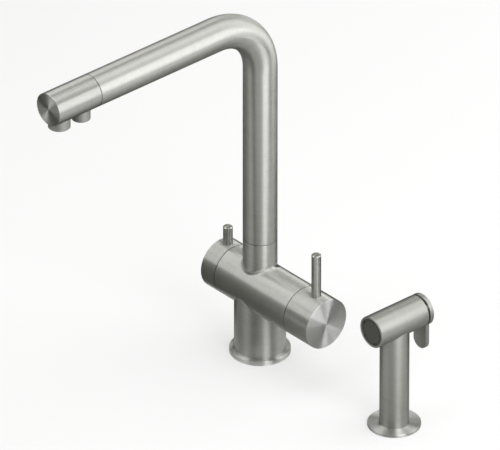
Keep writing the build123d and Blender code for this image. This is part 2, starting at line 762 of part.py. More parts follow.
# --- Hand spray --------------------------------------------------------------------------------
with BuildPart() as spray_handle:
    handle_z = spray_foot_t + rest_gap
    handle_plane = level(handle_z, spray_x, spray_y)
    disc(handle_plane, handle_d, spray_head_z - handle_z)
    disc(spray_section(spray_rear), spray_head_d, spray_rear + spray_front, Mode.SUBTRACT)
    disc(handle_plane, handle_bore_d, spray_head_z - handle_z, Mode.SUBTRACT)

with BuildPart() as spray_nipple:
    nipple_plane = level(nipple_z, spray_x, spray_y)
    disc(nipple_plane, nipple_thread_d, nipple_thread_l)
    disc(
        nipple_plane.offset(nipple_thread_l), handle_bore_d - 2 * thread_gap, nipple_plug_l
    )
    disc(nipple_plane, inlet_bore_d, nipple_thread_l + nipple_plug_l, Mode.SUBTRACT)
    pipe_seat = level(nipple_top - inlet_seat, spray_x, spray_y)
    disc(pipe_seat, inlet_pipe_d + 2 * thread_gap, inlet_seat, Mode.SUBTRACT)

with BuildPart() as spray_inlet:
    inlet_end = block_floor_z + inlet_seat
    ring(pipe_seat, inlet_pipe_d, inlet_bore_d, inlet_end - nipple_top + inlet_seat)

with BuildPart() as spray_head:
    disc(spray_section(spray_rear), spray_head_d, spray_rear + spray_front)
    chamfer(spray_head.edges().sort_by(Axis.Y)[0], spray_edge)
    disc(spray_section(spray_rear), spray_bore_d, spray_rear + spray_front, Mode.SUBTRACT)
    inlet_hole = under(spray_head_z, spray_x, spray_y)
    disc(inlet_hole, inlet_pipe_d + 2 * thread_gap, spray_head_d / 2, Mode.SUBTRACT)

with BuildPart() as spray_face:
    face_plane = spray_section(face_recess + face_t - spray_front)
    disc(face_plane, block_d, face_t)
    with BuildSketch(face_plane):
        slot_r = block_d / 2 - face_slot_inset
        with PolarLocations(slot_r, face_slots, start_angle=face_slot_turn):
            SlotOverall(face_slot_l, face_slot_w, rotation=90)
    extrude(amount=face_t, mode=Mode.SUBTRACT)

# --- Valve inside the head ---------------------------------------------------------------------
hinge_plane = Plane(
    origin=(spray_x, spray_y + hinge_y, hinge_z), x_dir=(0, 1, 0), z_dir=(1, 0, 0)
)


def knuckle(start, length, face_y):
    """Knuckle round the hinge axis with a web to the face that carries it."""
    with BuildSketch(hinge_plane.offset(start)) as section:
        Circle(knuckle_d / 2)
        with Locations((face_y / 2, 0)):
            Rectangle(abs(face_y), knuckle_d)
    extrude(section.sketch, amount=length)


with BuildPart() as valve_block:
    disc(spray_section(spray_rear), block_d, spray_rear + valve_front)
    pocket_plane = spray_section(pocket_end, valve_z)
    disc(pocket_plane, valve_pocket_d, pocket_end + valve_front, Mode.SUBTRACT)
    guide_plane = spray_section(spray_rear, valve_z)
    disc(guide_plane, plunger_d + 2 * running_gap, valve_guide_l, Mode.SUBTRACT)
    inlet_plane = level(block_floor_z, spray_x, spray_y)
    disc(inlet_plane, inlet_pipe_d + 2 * thread_gap, inlet_seat, Mode.SUBTRACT)
    disc(inlet_plane, waterway_d, valve_z - block_floor_z, Mode.SUBTRACT)
    seal_root_d = block_d - 2 * block_seal_d - 2 * running_gap
    groove_plane = spray_section(
        spray_rear - block_seal_inset + block_seal_d / 2 + running_gap
    )
    ring(groove_plane, block_d, seal_root_d, block_seal_d + 2 * running_gap, Mode.SUBTRACT)
    knuckle(-knuckle_half, 2 * knuckle_half, -trigger_gap / 2)
    disc(hinge_plane.offset(-knuckle_half), pin_d, 2 * knuckle_half, Mode.SUBTRACT)

with BuildPart() as block_seal:
    seal(spray_section(spray_rear - block_seal_inset), block_d - block_seal_d, block_seal_d)

with BuildPart() as valve_seat:
    seat_plane = spray_section(valve_seat_l - valve_front, valve_z)
    ring(seat_plane, valve_pocket_d - 2 * thread_gap, valve_seat_bore_d, valve_seat_l)

with BuildPart() as valve_plunger:
    rod_rear = trigger_front - plunger_rest_gap
    rod_front = valve_front + rest_gap + valve_disc_t + plunger_tip
    disc(spray_section(rod_rear, valve_z), plunger_d, rod_rear + rod_front)
    fillet(valve_plunger.edges().sort_by(Axis.Y)[-1], plunger_dome)
    collar_plane = spray_section(collar_front + collar_t, valve_z)
    disc(collar_plane, valve_pocket_d - 4 * running_gap, collar_t)
    disc_plane = spray_section(-valve_front - rest_gap, valve_z)
    disc(disc_plane, valve_pocket_d - 4 * running_gap, valve_disc_t)

with BuildPart() as return_spring:
    seat_rear = valve_seat_l - valve_front
    spring_l = collar_front - seat_rear - spring_wire - 2 * rest_gap
    coil_plane = spray_section(collar_front - rest_gap - spring_wire / 2, valve_z)
    with BuildLine():
        coil = Helix(
            spring_l / spring_turns,
            spring_l,
            spring_d / 2,
            center=coil_plane.origin,
            direction=coil_plane.z_dir,
        )
    with BuildSketch(Plane(origin=coil @ 0, z_dir=coil % 0)):
        Circle(spring_wire / 2)
    sweep(path=coil, is_frenet=True)
print(f"least gap between the spring's turns: {spring_l / spring_turns - spring_wire:.2f} mm")

# --- Trigger -----------------------------------------------------------------------------------
with BuildPart() as trigger_plate:
    with BuildSketch(spray_section(trigger_rear)):
        Circle(spray_head_d / 2)
        with Locations((0, -tongue_drop / 2)):
            Rectangle(2 * tongue_half, tongue_drop)
        with Locations((0, -tongue_drop)):
            Circle(tongue_half)
    extrude(amount=trigger_t)
    chamfer(trigger_plate.edges().group_by(Axis.Y)[-1], trigger_edge)
    chamfer(trigger_plate.edges().group_by(Axis.Y)[0], trigger_edge)
    side_l = pin_half - knuckle_half - knuckle_gap
    for start in (knuckle_half + knuckle_gap, -pin_half):
        knuckle(start, side_l, trigger_gap / 2)
    disc(hinge_plane.offset(-pin_half), pin_d + 2 * running_gap, 2 * pin_half, Mode.SUBTRACT)

with BuildPart() as trigger_pin:
    disc(hinge_plane.offset(-pin_half), pin_d, 2 * pin_half)

# --- Files -------------------------------------------------------------------------------------
pieces = {
    "base_flange": base_flange,
    "base_gasket": base_gasket,
    "faucet_body": faucet_body,
    "swivel": swivel,
    "lower_bush": lower_bush,
    "upper_bush": upper_bush,
    "swivel_seals": swivel_seals,
    "stop_screw": stop_screw,
    "filter_tube_seal": filter_tube_seal,
    "mixer_cartridge": mixer_cartridge,
    "cartridge_seals": cartridge_seals,
    "diverter": diverter,
    "mixer_nut": mixer_nut,
    "mixer_guide": mixer_guide,
    "mixer_spindle": mixer_spindle,
    "mixer_cap": mixer_cap,
    "mixer_lever": mixer_lever,
    "filter_headwork": filter_headwork,
    "filter_nut": filter_nut,
    "filter_guide": filter_guide,
    "filter_spindle": filter_spindle,
    "filter_cap": filter_cap,
    "filter_lever": filter_lever,
    "spout_tube": spout_tube,
    "filter_tube": filter_tube,
    "spout_head": spout_head,
    "head_seal": head_seal,
    "head_screw": head_screw,
    "front_outlet": front_outlet,
    "rear_outlet": rear_outlet,
    "front_aerator": front_aerator,
    "rear_aerator": rear_aerator,
    "outlet_washers": outlet_washers,
    "filter_elbow": filter_elbow,
    "spray_foot": spray_foot,
    "spray_gasket": spray_gasket,
    "guide_liner": guide_liner,
    "spray_handle": spray_handle,
    "spray_nipple": spray_nipple,
    "spray_inlet": spray_inlet,
    "spray_head": spray_head,
    "spray_face": spray_face,
    "valve_block": valve_block,
    "block_seal": block_seal,
    "valve_seat": valve_seat,
    "valve_plunger": valve_plunger,
    "return_spring": return_spring,
    "trigger_plate": trigger_plate,
    "trigger_pin": trigger_pin,
}

os.makedirs("parts", exist_ok=True)
for name, piece in pieces.items():
    piece.part.label = name
    export_step(piece.part, f"parts/{name}.step")
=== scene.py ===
"""Side spray kitchen faucet in satin steel: its finishes, fine details, studio and camera.

All lengths are in metres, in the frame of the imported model: +Z up, the deck at z = 0, the origin at
the centre of the faucet's foot, the spout towards -Y and the side spray at +X.
"""

import json
import logging
import math
from dataclasses import dataclass
from enum import Enum, member
from typing import Any

import bpy
from mathutils import Matrix, Vector


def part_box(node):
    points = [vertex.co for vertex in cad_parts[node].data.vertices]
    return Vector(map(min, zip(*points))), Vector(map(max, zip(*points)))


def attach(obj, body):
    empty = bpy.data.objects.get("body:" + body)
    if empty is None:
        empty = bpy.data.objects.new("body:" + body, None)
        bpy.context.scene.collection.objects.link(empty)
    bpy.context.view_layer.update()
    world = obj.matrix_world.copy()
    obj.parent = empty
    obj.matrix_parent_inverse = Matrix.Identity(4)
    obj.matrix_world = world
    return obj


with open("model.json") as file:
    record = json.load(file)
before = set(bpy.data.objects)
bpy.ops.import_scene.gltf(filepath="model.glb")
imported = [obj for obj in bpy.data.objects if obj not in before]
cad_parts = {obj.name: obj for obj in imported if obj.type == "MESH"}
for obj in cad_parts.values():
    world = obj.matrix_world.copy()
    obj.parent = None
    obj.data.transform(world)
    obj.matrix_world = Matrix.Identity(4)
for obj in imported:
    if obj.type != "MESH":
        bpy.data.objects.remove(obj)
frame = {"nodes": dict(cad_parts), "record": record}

logging.basicConfig(level=logging.INFO, format="%(name)s: %(message)s")
log = logging.getLogger("faucet")

MM = 0.001

Socket = bpy.types.NodeSocket
Triple = tuple[float, float, float]
Colour = Triple
X_AXIS, Y_AXIS, Z_AXIS = (1.0, 0.0, 0.0), (0.0, 1.0, 0.0), (0.0, 0.0, 1.0)


# --- Places, read from the frame ----------------------------------------------------------------
def middle(node: str) -> Vector:
    """Centre of a CAD node's box."""
    low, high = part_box(node)
    return (low + high) / 2


@dataclass(frozen=True)
class Turning:
    """How a piece was turned: the middle of its axis, and the round edges at its two ends."""

    point: Triple
    direction: Triple
    half_length: float
    radius: float

    @classmethod
    def of(cls, node: str, direction: Triple) -> "Turning":
        """Turning of a CAD node, from its box.

        Args:
            node: the CAD node's name.
            direction: the axis's direction, along +X, +Y or +Z.

        Returns:
            The turning.
        """
        low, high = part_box(node)
        half = (high - low) / 2
        axis = direction.index(1.0)
        return cls(tuple(middle(node)), direction, half[axis], half[0 if axis else 1])


@dataclass(frozen=True)
class Plane:
    """Flat place across a piece: a seam beside it, or the face that holes go in from.

    Its reach is how far a seam's shade goes on each side of it.
    """

    direction: Triple
    place: float
    reach: float = 0.45 * MM


# --- Shader graphs ------------------------------------------------------------------------------
class Graph:
    """One node tree, with short calls that make a node and join its inputs."""

    def __init__(self, tree: bpy.types.NodeTree) -> None:
        """Starts on an existing tree.

        Args:
            tree: the tree that the nodes go in.
        """
        self.tree = tree

    def node(self, kind: str, inputs: dict[Any, Any] | None = None, **settings: Any) -> bpy.types.Node:
        """Makes a node.

        Args:
            kind: the node's type.
            inputs: values or sockets for its inputs, by name or number.
            settings: the node's own properties.

        Returns:
            The new node.
        """
        made = self.tree.nodes.new(kind)
        for name, value in settings.items():
            setattr(made, name, value)
        for name, value in (inputs or {}).items():
            self.feed(made.inputs[name], value)
        return made

    def feed(self, socket: Socket, value: Any) -> None:
        """Joins a socket to an input, or sets the input's own value."""
        if isinstance(value, bpy.types.NodeSocket):
            self.tree.links.new(value, socket)
        else:
            socket.default_value = value

    def math(self, operation: str, a: Any, b: Any = 0.0, c: Any = 0.0, clamp: bool = False) -> Socket:
        """One step of arithmetic."""
        inputs = {0: a, 1: b, 2: c}
        return self.node("ShaderNodeMath", inputs, operation=operation, use_clamp=clamp).outputs[0]

    def vector(self, operation: str, a: Any, b: Any = (0.0, 0.0, 0.0)) -> Socket:
        """One step of vector arithmetic, with a vector result."""
        return self.node("ShaderNodeVectorMath", {0: a, 1: b}, operation=operation).outputs["Vector"]

    def measure(self, operation: str, a: Any, b: Any = (0.0, 0.0, 0.0)) -> Socket:
        """One step of vector arithmetic, with a plain number as its result."""
        return self.node("ShaderNodeVectorMath", {0: a, 1: b}, operation=operation).outputs["Value"]

    def shaded(self, colour: Any, shade: Socket) -> Socket:
        """A colour made lighter or darker by a factor."""
        inputs = {0: colour, "Scale": shade}
        return self.node("ShaderNodeVectorMath", inputs, operation="SCALE").outputs["Vector"]

    def split(self, vector: Socket) -> list[Socket]:
        """The three coordinates of a vector."""
        return list(self.node("ShaderNodeSeparateXYZ", {0: vector}).outputs)

    def join(self, x: Any, y: Any, z: Any) -> Socket:
        """A vector of three coordinates."""
        return self.node("ShaderNodeCombineXYZ", {0: x, 1: y, 2: z}).outputs[0]

    def spread(self, value: Socket, low: float, high: float, to_low: float, to_high: float) -> Socket:
        """Maps a range of values to another, held at its ends."""
        inputs = {"Value": value, "From Min": low, "From Max": high, "To Min": to_low, "To Max": to_high}
        return self.node("ShaderNodeMapRange", inputs).outputs["Result"]

    def noise(self, vector: Any, detail: float = 2.0) -> Socket:
        """Noise from 0 to 1 about its middle, with features about one unit across."""
        inputs = {"Vector": vector, "Scale": 1.0, "Detail": detail, "Roughness": 0.5}
        return self.node("ShaderNodeTexNoise", inputs).outputs[0]


class Group:
    """A shared shader node group while it is being made."""

    def __init__(self, name: str, inputs: str, outputs: str) -> None:
        """Starts the group.

        Args:
            name: the group's name.
            inputs: its inputs' names, split by commas; a point is a vector, the rest are numbers.
            outputs: its outputs' names, split by commas, all numbers.
        """
        self.tree = bpy.data.node_groups.new(name, "ShaderNodeTree")
        for way, labels in (("INPUT", inputs), ("OUTPUT", outputs)):
            for label in labels.split(", "):
                kind = "NodeSocketVector" if label == "Point" else "NodeSocketFloat"
                self.tree.interface.new_socket(label, in_out=way, socket_type=kind)
        self.graph = Graph(self.tree)
        self.given = {socket.name: socket for socket in self.graph.node("NodeGroupInput").outputs}
        self.leave = self.graph.node("NodeGroupOutput")

    def give(self, label: str, value: Socket) -> None:
        """Joins a result to an output."""
        self.graph.feed(self.leave.inputs[label], value)


@dataclass(frozen=True)
class BrushScale:
    """One scale of brushing lines: their pitch, how far a streak runs, and how much they count."""

    pitch: float
    streak: float
    weight: float


NOISE_MIDDLE = 0.5
BRUSH_SCALES = (
    BrushScale(0.30 * MM, 5 * MM, 0.8),
    BrushScale(1.2 * MM, 8 * MM, 1.0),
    BrushScale(7 * MM, 50 * MM, 0.35),
)
BRUSH_SHADE, BRUSH_ROUGHNESS = 0.26, 0.12
CLOUD_DETAIL = 3.0
# Size and shape of the round edges' mask of wear and painted highlight.
WEAR_HIGHLIGHT_PATCH = 2.5 * MM
WEAR_HIGHLIGHT_GAIN, WEAR_HIGHLIGHT_BASE = 1.2, 0.2
WEAR_HIGHLIGHT_TOP, WEAR_HIGHLIGHT_ROUNDING = 0.6, 0.3
SEAM_FULL_SHARE = 0.5
RECESS_CLEAR_SHARE = 0.15


def brush_marks_group() -> bpy.types.NodeTree:
    """Brushing lines at three scales: short across the lines, long along them.

    Returns:
        The group, with a colour factor about 1, a roughness offset and a height about 0.
    """
    group = Group("brush_marks", "Across, Point, Depth", "Shade, Roughness Offset, Height")
    graph, given = group.graph, group.given
    mixed = 0.0
    for scale in BRUSH_SCALES:
        across = graph.join(graph.math("DIVIDE", given["Across"], scale.pitch), 0.0, 0.0)
        along = graph.vector("DIVIDE", given["Point"], (scale.streak,) * 3)
        line = graph.math("SUBTRACT", graph.noise(graph.vector("ADD", along, across)), NOISE_MIDDLE)
        mixed = graph.math("MULTIPLY_ADD", line, scale.weight, mixed)
    deep = graph.math("MULTIPLY", mixed, given["Depth"])
    group.give("Shade", graph.math("MULTIPLY_ADD", deep, BRUSH_SHADE, 1.0))
    group.give("Roughness Offset", graph.math("MULTIPLY", deep, BRUSH_ROUGHNESS))
    group.give("Height", deep)
    return group.tree


def cloud_group() -> bpy.types.NodeTree:
    """Cloudiness of one size: wiping on metal, tool marks, or the grain of plastic and rubber.

    Returns:
        The group, with one mask about 0.
    """
    group = Group("cloud", "Point, Size", "Mask")
    graph, size = group.graph, group.given["Size"]
    scaled = graph.vector("DIVIDE", group.given["Point"], graph.join(size, size, size))
    group.give("Mask", graph.math("SUBTRACT", graph.noise(scaled, CLOUD_DETAIL), NOISE_MIDDLE))
    return group.tree


def edge_wear_and_highlight_group() -> bpy.types.NodeTree:
    """Bright wear and painted highlight along the two round edges of a turned piece, broken up along them.

    Returns:
        The group, with one mask from 0 to 1.
    """
    group = Group("edge_wear_and_highlight", "Point, Height, Radius, Half Length, Rim Radius, Width", "Mask")
    graph, given = group.graph, group.given
    from_end = graph.math("SUBTRACT", graph.math("ABSOLUTE", given["Height"]), given["Half Length"])
    from_rim = graph.math("SUBTRACT", given["Radius"], given["Rim Radius"])
    away = graph.measure("LENGTH", graph.join(from_end, from_rim, 0.0))
    near = graph.math("SUBTRACT", 1.0, graph.math("DIVIDE", away, given["Width"]), clamp=True)
    scaled = graph.vector("DIVIDE", given["Point"], (WEAR_HIGHLIGHT_PATCH,) * 3)
    broken = graph.math("MULTIPLY_ADD", graph.noise(scaled), WEAR_HIGHLIGHT_GAIN, WEAR_HIGHLIGHT_BASE)
    held = graph.math("SMOOTH_MIN", near, WEAR_HIGHLIGHT_TOP, WEAR_HIGHLIGHT_ROUNDING)
    group.give("Mask", graph.math("MULTIPLY", held, broken, clamp=True))
    return group.tree


def seam_shade_group() -> bpy.types.NodeTree:
    """Shade in the thin gap beside a piece, where no light comes in.

    Returns:
        The group, with one mask from 0 to 1.
    """
    group = Group("seam_shade", "Place, Seam, Width", "Mask")
    graph, given = group.graph, group.given
    away = graph.math("ABSOLUTE", graph.math("SUBTRACT", given["Place"], given["Seam"]))
    part = graph.math("DIVIDE", away, given["Width"])
    group.give("Mask", graph.spread(part, SEAM_FULL_SHARE, 1.0, 1.0, 0.0))
    return group.tree


def recess_shade_group() -> bpy.types.NodeTree:
    """Shade that grows with the depth of a hole below its face.

    Returns:
        The group, with one mask from 0 to 1.
    """
    group = Group("recess_shade", "Place, Face, Depth", "Mask")
    graph, given = group.graph, group.given
    below = graph.math("SUBTRACT", given["Place"], given["Face"])
    part = graph.math("DIVIDE", below, given["Depth"])
    group.give("Mask", graph.spread(part, RECESS_CLEAR_SHARE, 1.0, 0.0, 1.0))
    return group.tree


class Effects:
    """The shared shader groups, each made once."""

    trees: dict[str, bpy.types.NodeTree] = {}

    @classmethod
    def build(cls) -> None:
        """Makes the groups."""
        for make in (brush_marks_group, cloud_group, edge_wear_and_highlight_group, seam_shade_group, recess_shade_group):
            tree = make()
            cls.trees[tree.name] = tree

    @classmethod
    def place(cls, graph: Graph, name: str, inputs: dict[str, Any]) -> Any:
        """Places a group in a material.

        Args:
            graph: the material's graph.
            name: the group's name.
            inputs: values or sockets for its inputs, by name.

        Returns:
            The outputs of the placed group.
        """
        placed = graph.node("ShaderNodeGroup", node_tree=cls.trees[name])
        for label, value in inputs.items():
            graph.feed(placed.inputs[label], value)
        return placed.outputs

    @classmethod
    def seam_shade(cls, graph: Graph, point: Socket, seams: tuple[Plane, ...]) -> Any:
        """Shade beside any of a piece's seams.

        Args:
            graph: the material's graph.
            point: the point on the surface.
            seams: the seams.

        Returns:
            The mask, from 0 to 1.
        """
        shade = 0.0
        for seam in seams:
            place = graph.measure("DOT_PRODUCT", point, seam.direction)
            inputs = {"Place": place, "Seam": seam.place, "Width": seam.reach}
            shade = graph.math("MAXIMUM", shade, cls.place(graph, "seam_shade", inputs)["Mask"])
        return shade


# --- Finishes -----------------------------------------------------------------------------------
@dataclass
class Lines:
    """Where a point of a brushed surface lies: across the lines, and the way they run."""

    across: Socket
    point: Socket
    tangent: Socket
    height: Socket | float = 0.0
    radius: Socket | float = 0.0


def turned_lines(graph: Graph, point: Socket, turning: Turning) -> Lines:
    """Rings round one axis, on the sides and on the ends alike.

    Args:
        graph: the material's graph.
        point: the point on the surface.
        turning: the axis that the rings go round.

    Returns:
        The lines.
    """
    arm = graph.vector("SUBTRACT", point, turning.point)
    height = graph.measure("DOT_PRODUCT", arm, turning.direction)
    ring = graph.vector("CROSS_PRODUCT", turning.direction, arm)
    radius = graph.measure("LENGTH", ring)
    across = graph.math("ADD", height, radius)
    return Lines(across, arm, graph.vector("NORMALIZE", ring), height, radius)


@dataclass(frozen=True)
class Junction:
    """Where the barrel's rings turn into the column's and the neck's.

    The turn starts a little beyond the barrel's radius. It is sharp at the column and wide at the
    neck, and the neck's rise is the height above the barrel's axis where it is at its widest.
    """

    start: float = 0.1 * MM
    sharp: float = 0.4 * MM
    wide: float = 4.0 * MM
    neck_rise: float = 5 * MM


JUNCTION = Junction()


def body_lines(graph: Graph, point: Socket, barrel: Turning) -> Lines:
    """Rings round the barrel on the barrel, and round the column on the column and neck.

    Args:
        graph: the material's graph.
        point: the point on the surface.
        barrel: the barrel's axis and radius.

    Returns:
        The lines.
    """
    on_barrel = turned_lines(graph, point, barrel)
    on_column = turned_lines(graph, point, Turning((0.0, 0.0, 0.0), Z_AXIS, 0.0, 0.0))
    beyond = graph.math("SUBTRACT", on_barrel.radius, barrel.radius + JUNCTION.start)
    rise = graph.math("SUBTRACT", graph.split(point)[2], barrel.point[2])
    band = graph.spread(rise, 0.0, JUNCTION.neck_rise, JUNCTION.sharp, JUNCTION.wide)
    side = graph.spread(beyond, 0.0, JUNCTION.sharp, 0.0, 1.0)
    across = graph.node("ShaderNodeMix", {0: side, 2: on_barrel.across, 3: on_column.across}).outputs[0]
    turned = graph.math("DIVIDE", beyond, band, clamp=True)
    inputs = {0: turned, 4: on_barrel.tangent, 5: on_column.tangent}
    ring = graph.node("ShaderNodeMix", inputs, data_type="VECTOR").outputs[1]
    return Lines(across, point, graph.vector("NORMALIZE", ring), on_barrel.height, on_barrel.radius)


def bent_lines(graph: Graph, point: Socket, bend: "Bend") -> Lines:
    """Rings along the spout: up the tube, round its bend and out along its reach.

    Args:
        graph: the material's graph.
        point: the point on the surface.
        bend: the tube's bend.

    Returns:
        The lines, whose tangent runs along the spout and not round it.
    """
    _, y, z = graph.split(graph.vector("SUBTRACT", point, bend.centre))
    back = graph.math("MAXIMUM", y, 0.0)
    up = graph.math("MAXIMUM", z, 0.0)
    reach = graph.math("MAXIMUM", graph.math("MULTIPLY", y, -1.0), 0.0)
    straight = graph.math("ADD", reach, graph.math("MINIMUM", z, 0.0))
    length = graph.math("MULTIPLY_ADD", graph.math("ARCTAN2", up, back), bend.radius, straight)
    heading = graph.vector("NORMALIZE", graph.join(0.0, graph.math("MULTIPLY", up, -1.0), back))
    return Lines(length, point, heading)


class Brushing(Enum):
    """How the brushing lines run on a piece."""

    TURNED = member(turned_lines)
    BODY = member(body_lines)
    BENT = member(bent_lines)


def new_material(name: str) -> tuple[bpy.types.Material, Graph, bpy.types.Node]:
    """Starts a material.

    Args:
        name: the material's name.

    Returns:
        The material, its graph and its shader.
    """
    made = bpy.data.materials.new(name)
    made.use_nodes = True
    return made, Graph(made.node_tree), made.node_tree.nodes["Principled BSDF"]


QUARTER_TURN = 0.25


@dataclass(frozen=True)
class SatinSteel:
    """Brushed stainless steel, whose highlights stretch across the brushing lines.

    Its flat ends can have a colour and a roughness of their own. They are known by their distance
    from the end of the turning: none of it at face_start, all of it at face_full.
    """

    colour: Colour = (0.535, 0.535, 0.512)
    edge_tint: Colour = (0.50, 0.50, 0.50)
    roughness: float = 0.44
    anisotropy: float = 0.90
    depth: float = 1.0
    bump: float = 0.12
    bump_height: float = 0.02 * MM
    cloud_size: float = 38 * MM
    cloud_roughness: float = 0.06
    # How much the round edges are lightened as a painted highlight, how wide, and how much smoother they are
    # from wear.
    wear_and_highlight: float = 0.20
    wear_and_highlight_width: float = 0.6 * MM
    wear_polish: float = 0.12
    # How dark the painted shade in the seams is, and how much rougher the seams are.
    seam_shade_strength: float = 0.8
    seam_roughness: float = 0.2
    face_colour: Colour | None = None
    face_roughness: float = 0.0
    face_start: float = 0.06 * MM
    face_full: float = 0.02 * MM

    def material(
        self, name: str, brushing: Brushing, turning: "Turning | Bend", seams: tuple[Plane, ...] = ()
    ) -> bpy.types.Material:
        """Makes the steel for one piece.

        Args:
            name: the material's name.
            brushing: how the lines run.
            turning: the axis that they run round, or the bend that they follow.
            seams: the thin gaps beside the piece, which get painted shade.

        Returns:
            The material.
        """
        made, graph, shader = new_material(name)
        point = graph.node("ShaderNodeTexCoord").outputs["Object"]
        lines = brushing.value(graph, point, turning)
        marks = Effects.place(
            graph, "brush_marks", {"Across": lines.across, "Point": lines.point, "Depth": self.depth}
        )
        cloud = Effects.place(graph, "cloud", {"Point": point, "Size": self.cloud_size})["Mask"]
        shade, base = marks["Shade"], self.colour
        rough = graph.math("MULTIPLY_ADD", cloud, self.cloud_roughness, self.roughness)
        rough = graph.math("ADD", rough, marks["Roughness Offset"])
        if brushing is not Brushing.BENT:
            # Round edges: smoother from wear, and lighter in colour as a painted highlight.
            wear_and_highlight, face = self.worn_highlit_and_faced(graph, point, lines, turning)
            shade = graph.math("MULTIPLY", shade, graph.math("MULTIPLY_ADD", wear_and_highlight, self.wear_and_highlight, 1.0))
            rough = graph.math("MULTIPLY_ADD", wear_and_highlight, -self.wear_polish, rough)
            rough = graph.math("MULTIPLY_ADD", face, self.face_roughness, rough)
            if self.face_colour:
                inputs = {0: face, 6: (*self.colour, 1.0), 7: (*self.face_colour, 1.0)}
                base = graph.node("ShaderNodeMix", inputs, data_type="RGBA").outputs[2]
        # Painted shade in the thin gaps beside the piece, where no light comes in; the seams are rougher too.
        if seams:
            seam_painted_shade = Effects.seam_shade(graph, point, seams)
            shade = graph.math("MULTIPLY", shade, graph.math("MULTIPLY_ADD", seam_painted_shade, -self.seam_shade_strength, 1.0))
            rough = graph.math("MULTIPLY_ADD", seam_painted_shade, self.seam_roughness, rough)
        bump = graph.node(
            "ShaderNodeBump",
            {"Strength": self.bump, "Distance": self.bump_height, "Height": marks["Height"]},
        )
        turned = graph.node(
            "ShaderNodeVectorTransform",
            {0: lines.tangent},
            vector_type="VECTOR",
            convert_from="OBJECT",
            convert_to="WORLD",
        )
        graph.feed(shader.inputs["Base Color"], graph.shaded(base, shade))
        graph.feed(shader.inputs["Roughness"], rough)
        graph.feed(shader.inputs["Normal"], bump.outputs[0])
        graph.feed(shader.inputs["Tangent"], turned.outputs[0])
        shader.inputs["Metallic"].default_value = 1.0
        shader.inputs["Specular Tint"].default_value = (*self.edge_tint, 1.0)
        shader.inputs["Anisotropic"].default_value = self.anisotropy
        rotation = 0.0 if brushing is Brushing.BENT else QUARTER_TURN
        shader.inputs["Anisotropic Rotation"].default_value = rotation
        return made

    def worn_highlit_and_faced(
        self, graph: Graph, point: Socket, lines: Lines, turning: Turning
    ) -> tuple[Socket, Socket]:
        """Where a turned piece is worn along its edges and given a painted highlight there, and where its
        flat ends are.

        Args:
            graph: the material's graph.
            point: the point on the surface.
            lines: the point's place among the brushing lines.
            turning: the piece's turning.

        Returns:
            The mask of the edges' wear and painted highlight, and the flat ends' mask.
        """
        inputs = {
            "Point": point,
            "Height": lines.height,
            "Radius": lines.radius,
            "Half Length": turning.half_length,
            "Rim Radius": turning.radius,
            "Width": self.wear_and_highlight_width,
        }
        wear_and_highlight = Effects.place(graph, "edge_wear_and_highlight", inputs)["Mask"]
        ends = graph.math("ABSOLUTE", lines.height)
        half = turning.half_length
        return wear_and_highlight, graph.spread(ends, half - self.face_start, half - self.face_full, 0.0, 1.0)


@dataclass(frozen=True)
class Moulded:
    """Plastic or rubber with an even grain, and painted shade inside its holes."""

    colour: Colour
    roughness: float = 0.5
    grain: float = 0.4 * MM
    bump: float = 0.15
    bump_height: float = 0.1 * MM
    mottle: float = 0.15
    grain_roughness: float = 0.1
    # Depth below the face at which the painted shade in the holes is full, and how dark it gets.
    hole_depth: float = 1.2 * MM
    hole_shade_strength: float = 0.9

    def material(self, name: str, face: Plane | None = None) -> bpy.types.Material:
        """Makes the material.

        Args:
            name: the material's name.
            face: the face that the piece's holes go in from, with its direction inwards; their painted shade
                starts there.

        Returns:
            The material.
        """
        made, graph, shader = new_material(name)
        point = graph.node("ShaderNodeTexCoord").outputs["Object"]
        mask = Effects.place(graph, "cloud", {"Point": point, "Size": self.grain})["Mask"]
        shade = graph.math("MULTIPLY_ADD", mask, 2 * self.mottle, 1.0)
        # Painted shade inside the holes, deeper with their depth below the face.
        if face:
            place = graph.measure("DOT_PRODUCT", point, face.direction)
            inputs = {"Place": place, "Face": face.place, "Depth": self.hole_depth}
            deep = Effects.place(graph, "recess_shade", inputs)["Mask"]
            shade = graph.math("MULTIPLY", shade, graph.math("MULTIPLY_ADD", deep, -self.hole_shade_strength, 1.0))
        rough = graph.math("MULTIPLY_ADD", mask, self.grain_roughness, self.roughness)
        inputs = {"Strength": self.bump, "Distance": self.bump_height, "Height": mask}
        graph.feed(shader.inputs["Base Color"], graph.shaded(self.colour, shade))
        graph.feed(shader.inputs["Roughness"], rough)
        graph.feed(shader.inputs["Normal"], graph.node("ShaderNodeBump", inputs).outputs[0])
        return made


@dataclass(frozen=True)
class MachinedMetal:
    """Machined metal of the inner pieces, with faint tool marks."""

    colour: Colour
    roughness: float = 0.3
    mark_size: float = 1.2 * MM
    mark_shade: float = 0.15
    mark_roughness: float = 0.2
    bump: float = 0.2
    bump_height: float = 0.02 * MM

    def material(self, name: str) -> bpy.types.Material:
        """Makes the material.

        Args:
            name: the material's name.

        Returns:
            The material.
        """
        made, graph, shader = new_material(name)
        point = graph.node("ShaderNodeTexCoord").outputs["Object"]
        mask = Effects.place(graph, "cloud", {"Point": point, "Size": self.mark_size})["Mask"]
        shade = graph.math("MULTIPLY_ADD", mask, self.mark_shade, 1.0)
        rough = graph.math("MULTIPLY_ADD", mask, self.mark_roughness, self.roughness)
        inputs = {"Strength": self.bump, "Distance": self.bump_height, "Height": mask}
        graph.feed(shader.inputs["Base Color"], graph.shaded(self.colour, shade))
        graph.feed(shader.inputs["Roughness"], rough)
        graph.feed(shader.inputs["Normal"], graph.node("ShaderNodeBump", inputs).outputs[0])
        shader.inputs["Metallic"].default_value = 1.0
        return made


STEEL = SatinSteel()
